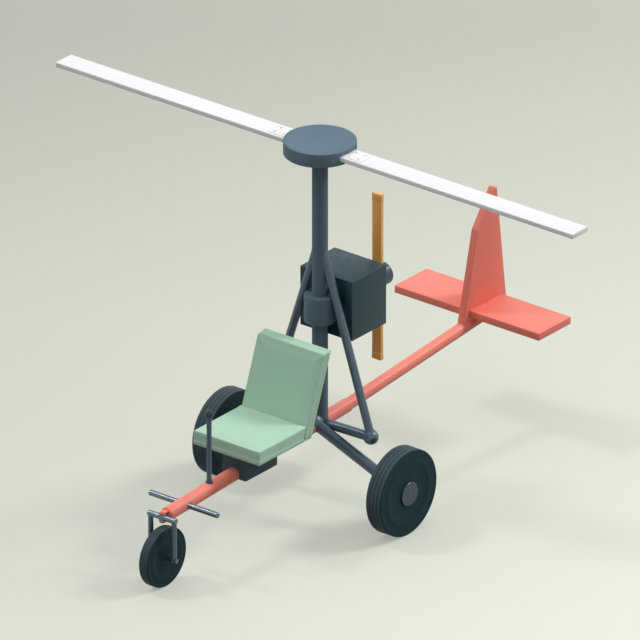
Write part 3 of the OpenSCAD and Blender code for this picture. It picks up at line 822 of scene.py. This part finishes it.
def fin():
    """The fin's skin, in the outline read off the CAD fin's left face, and its rivets."""
    half = high("fin").x
    verts = frame["nodes"]["fin"].data.vertices
    outline = outline_of([v.co for v in verts if abs(v.co.x - half) < 1e-4])
    bm = bmesh.new()
    prism(bm, [(p.y, p.z) for p in outline], half)
    round_edges(bm, bm.edges, 4 * MM, 3)
    piece("fin_skin", bm, "airframe", "coral_skin", ["fin"])

    # no rivets low down where the tailplane meets the fin
    clear_above = middle("left_tailplane").z + 0.04
    clear_ahead = low("left_tailplane").y - 0.02
    centre = sum(outline, Vector()) / len(outline)
    bm = bmesh.new()
    for a, b in zip(outline, outline[1:] + outline[:1]):
        along = (b - a).normalized()
        inward = X.cross(along)
        if inward.dot(centre - a) < 0:
            inward = -inward
        count = int((b - a).length / RIVET_STEP)
        for i in range(count):
            p = a + along * (b - a).length * (i + 0.5) / count + inward * RIVET_INSET
            if p.z > clear_above or p.y < clear_ahead:
                for s in (-1, 1):
                    rivet(bm, Vector((s * half, p.y, p.z)), X * s)
    piece("fin_rivets", bm, "airframe", "coral_skin")


def tailplane(side):
    """Half the tailplane's skin, with rivets round its top and its underside."""
    node = side + "_tailplane"
    lo, hi = low(node), high(node)
    bm = bmesh.new()
    block(bm, lo, hi, 4 * MM)
    piece(side + "_tailplane_skin", bm, "airframe", "coral_skin", [node])
    x0, x1 = lo.x + RIVET_INSET, hi.x - RIVET_INSET
    y0, y1 = lo.y + RIVET_INSET, hi.y - RIVET_INSET
    bm = bmesh.new()
    for z, up in ((lo.z, -Z), (hi.z, Z)):
        corners = [Vector((x, y, z)) for x, y in ((x0, y0), (x1, y0), (x1, y1), (x0, y1))]
        for p in spaced(corners, RIVET_STEP):
            rivet(bm, p, up)
    piece(side + "_tailplane_rivets", bm, "airframe", "coral_skin")


fin()
for side in SIDES:
    tailplane(side)


# ---------------------------------------------------------------- welds and fittings

def weld(name, path, slot="dark_steel"):
    """A rippled bead along a closed path."""
    cord_along(name, path, 4 * MM, "airframe", slot, 0.2)


def leaving(ball, direction, bar_radius, ball_radius):
    """The circle where a round bar leaves a ball, straight out from the ball's centre."""
    reach = math.sqrt(ball_radius ** 2 - bar_radius ** 2)
    return circle(ball + direction * reach, direction, bar_radius)


def brace_axis(side, ball):
    """The brace's own direction, from the ball upwards, read off the middle of its mesh."""
    verts = [v.co for v in frame["nodes"][side + "_mast_brace"].data.vertices]
    far = [p for p in verts if p.z > ball.z + 0.6]
    centre = sum(far, Vector()) / len(far)
    return (Vector((centre.x, ball.y, centre.z)) - ball).normalized()


def brace_top(ball, axis, radius, steps=72):
    """The curve where a brace meets the mast's near side."""
    e1 = axis.cross(Y).normalized()
    path = []
    for i in range(steps):
        t = math.tau * i / steps
        start = ball + radius * (e1 * math.cos(t) + Y * math.sin(t))
        y = radius * math.sin(t)
        x = math.copysign(math.sqrt(mast_radius ** 2 - y ** 2), ball.x)
        path.append(start + axis * ((x - start.x) / axis.x))
    return path


def welds():
    mast_foot = keel_at(mast.y)
    weld("mast_weld", cope(mast_foot, Z, mast_radius, mast_foot, keel_axis, keel_radius),
         "slate_paint")
    for side in SIDES:
        ball = middle(side + "_brace_ball")
        ball_radius = half_size(side + "_brace_ball").x
        brace_radius = half_size(side + "_mast_brace").y
        axis = brace_axis(side, ball)
        weld(side + "_brace_foot_weld", leaving(ball, axis, brace_radius, ball_radius))
        weld(side + "_brace_top_weld", brace_top(ball, axis, brace_radius))
        weld(side + "_strut_end_weld", leaving(ball, (mast_foot - ball).normalized(),
                                               half_size(side + "_cross_strut").y, ball_radius))
        tyre_centre = middle(side + "_tyre")
        leg = Vector((tyre_centre.x, hub.y, tyre_centre.z)) - hub
        weld(side + "_leg_weld", leaving(hub, leg.normalized(), leg_radius, hub_radius))


welds()


BAR_RADIUS = 20 * MM
BAR_EDGE = 2 * MM


def bar_profile(node, bush=()):
    """A plain bar of the node's own length, with rounded ends, as (radius, place along it).

    A bush in its middle is given as its radius and half its length."""
    r, half, middle_part = BAR_RADIUS, half_size(node).x, []
    if bush:
        wide, reach = bush
        middle_part = [(r, reach), (wide, reach - BAR_EDGE), (wide, -reach + BAR_EDGE), (r, -reach)]
    return [(0, half), (r - BAR_EDGE, half), (r, half - BAR_EDGE), *middle_part,
            (r, -half + BAR_EDGE), (r - BAR_EDGE, -half), (0, -half)]


def bars():
    """The foot bar and the fork's crown, turned fine enough to hold a straight highlight."""
    bm = bmesh.new()
    bush = (half_size("foot_bar").z, keel_radius + 10 * MM)
    turned(bm, bar_profile("foot_bar", bush), facing(X, bar), 64)
    piece("foot_bar_tube", bm, "airframe", "bright_steel", ["foot_bar"], smooth=30)
    bm = bmesh.new()
    turned(bm, bar_profile("fork_crown"), facing(X, king_pin), 64)
    boss, radius = half_size("fork_crown").z, half_size("fork_crown").y
    turned(bm, [(0, boss), (radius - BAR_EDGE, boss), (radius, boss - BAR_EDGE),
                (radius, -boss + BAR_EDGE), (radius - BAR_EDGE, -boss), (0, -boss)],
           facing(Z, king_pin), 64)
    piece("fork_crown_bar", bm, "fork", "bright_steel", ["fork_crown"], smooth=30)


def ball(side):
    """The ball where a brace and a strut meet."""
    node = side + "_brace_ball"
    bm = bmesh.new()
    bmesh.ops.create_uvsphere(bm, u_segments=48, v_segments=32, radius=half_size(node).x,
                              matrix=Matrix.Translation(middle(node)))
    piece(side + "_ball", bm, "airframe", "dark_steel", [node], smooth=180)


def stick_grommet():
    """The rubber ring at the foot of the control stick, partly sunk into the keel."""
    stick = middle("control_stick")
    inside = half_size("control_stick").x - 1 * MM
    outside, shoulder = inside + 9 * MM, inside + 6 * MM
    foot = Vector((0, stick.y, keel_at(stick.y).z + keel_radius - 9 * MM))
    bm = bmesh.new()
    turned(bm, [(inside, 0), (outside, 0), (outside, 12 * MM), (shoulder, 16 * MM),
                (inside, 17 * MM)], facing(Z, foot), 48)
    piece("stick_grommet", bm, "airframe", "knob_plastic", smooth=60)


bars()
for side in SIDES:
    ball(side)
stick_grommet()


# ---------------------------------------------------------------- floor, light and camera

def floor():
    """A pale floor, part of whose brightness is its own, so that shadows stay faint."""
    finish = Finish("floor", (0.28, 0.28, 0.28), 0.95, Specular_IOR_Level=0.0)
    # towards the camera the floor grows paler, and a little towards picture right: a painted light
    # falloff, not the floor's own colour
    down = finish.slope(0.80, 0.0668, -0.0842)
    painted_falloff_colour = finish.ramp(down, [(0.0, (0.52, 0.545, 0.473)), (0.5, (0.675, 0.70, 0.61)),
                               (1.0, (0.75, 0.785, 0.69))])
    right = finish.slope(1.0, 0.0277, 0.0220)
    right = finish.math("MINIMUM", finish.math("MAXIMUM", right, 0.85), 1.12)
    painted_falloff_colour = finish.add("ShaderNodeVectorMath", {0: painted_falloff_colour, "Scale": right},
                       operation="SCALE").outputs["Vector"]
    seen = finish.seen()
    thrown_back, own_share = (0.2, 0.2, 0.19, 1), 0.45
    # the seen floor takes the painted light falloff both as its colour and as its own glow
    finish.set(finish.shader, "Base Color", finish.pick(seen, thrown_back, painted_falloff_colour))
    own = finish.add("ShaderNodeEmission", {"Color": painted_falloff_colour, "Strength": 1.0})
    share = finish.math("MULTIPLY", seen, own_share)
    both = finish.add("ShaderNodeMixShader", {0: share, 1: finish.shader.outputs[0],
                                              2: own.outputs[0]})
    finish.set(finish.tree.nodes["Material Output"], "Surface", both.outputs[0])

    bm = bmesh.new()
    bmesh.ops.create_grid(bm, x_segments=1, y_segments=1, size=60)
    mesh = bpy.data.meshes.new("floor")
    bm.to_mesh(mesh)
    bm.free()
    ground = bpy.data.objects.new("floor", mesh)
    mesh.materials.append(finish.material)
    scene.collection.objects.link(ground)


def sky():
    """An even pale backdrop where it is seen, and light that comes from above everywhere else."""
    world = bpy.data.worlds.new("studio")
    world.use_nodes = True
    scene.world = world
    nodes = Nodes(world.node_tree)
    generated = nodes.add("ShaderNodeTexCoord").outputs["Generated"]
    height = nodes.add("ShaderNodeSeparateXYZ", {0: generated}).outputs["Z"]
    lowest, backdrop = 0.02, (1.0, 1.04, 1.05, 1)
    colour = nodes.pick(nodes.seen(), nodes.math("MAXIMUM", height, lowest), backdrop)
    background = world.node_tree.nodes["Background"]
    nodes.set(background, "Color", colour)
    nodes.set(background, "Strength", 0.95)


def lamps():
    # name, direction towards the lamp, strength, width in degrees
    for name, towards, strength, width in (("right_light", (0.50, 0.62, 0.75), 1.35, 14),
                                           ("left_light", (-0.563, -0.22, 0.80), 0.7, 10)):
        lamp = bpy.data.lights.new(name, "SUN")
        lamp.energy = strength
        lamp.angle = math.radians(width)
        lit = bpy.data.objects.new(name, lamp)
        lit.rotation_euler = Vector(towards).to_track_quat("Z", "Y").to_euler()
        scene.collection.objects.link(lit)


def camera():
    """A long lens far away, so that parallel edges stay parallel, aimed halfway up the mast."""
    azimuth, elevation = math.radians(38.45), math.radians(25.19)
    width_shown, distance, sensor = 4.224, 185.0, 36.0
    lens = bpy.data.cameras.new("camera")
    lens.sensor_width = sensor
    lens.lens = sensor * distance / width_shown
    lens.clip_end = 400.0
    seen = bpy.data.objects.new("camera", lens)
    back = Vector((math.sin(azimuth) * math.cos(elevation),
                   -math.cos(azimuth) * math.cos(elevation), math.sin(elevation)))
    target = Vector((mast.x, mast.y, high("rotor_hub").z / 2))
    seen.location = target + back * distance
    seen.rotation_euler = (-back).to_track_quat("-Z", "Y").to_euler()
    scene.collection.objects.link(seen)
    scene.camera = seen


floor()
sky()
lamps()
camera()
scene.view_settings.view_transform = "Standard"
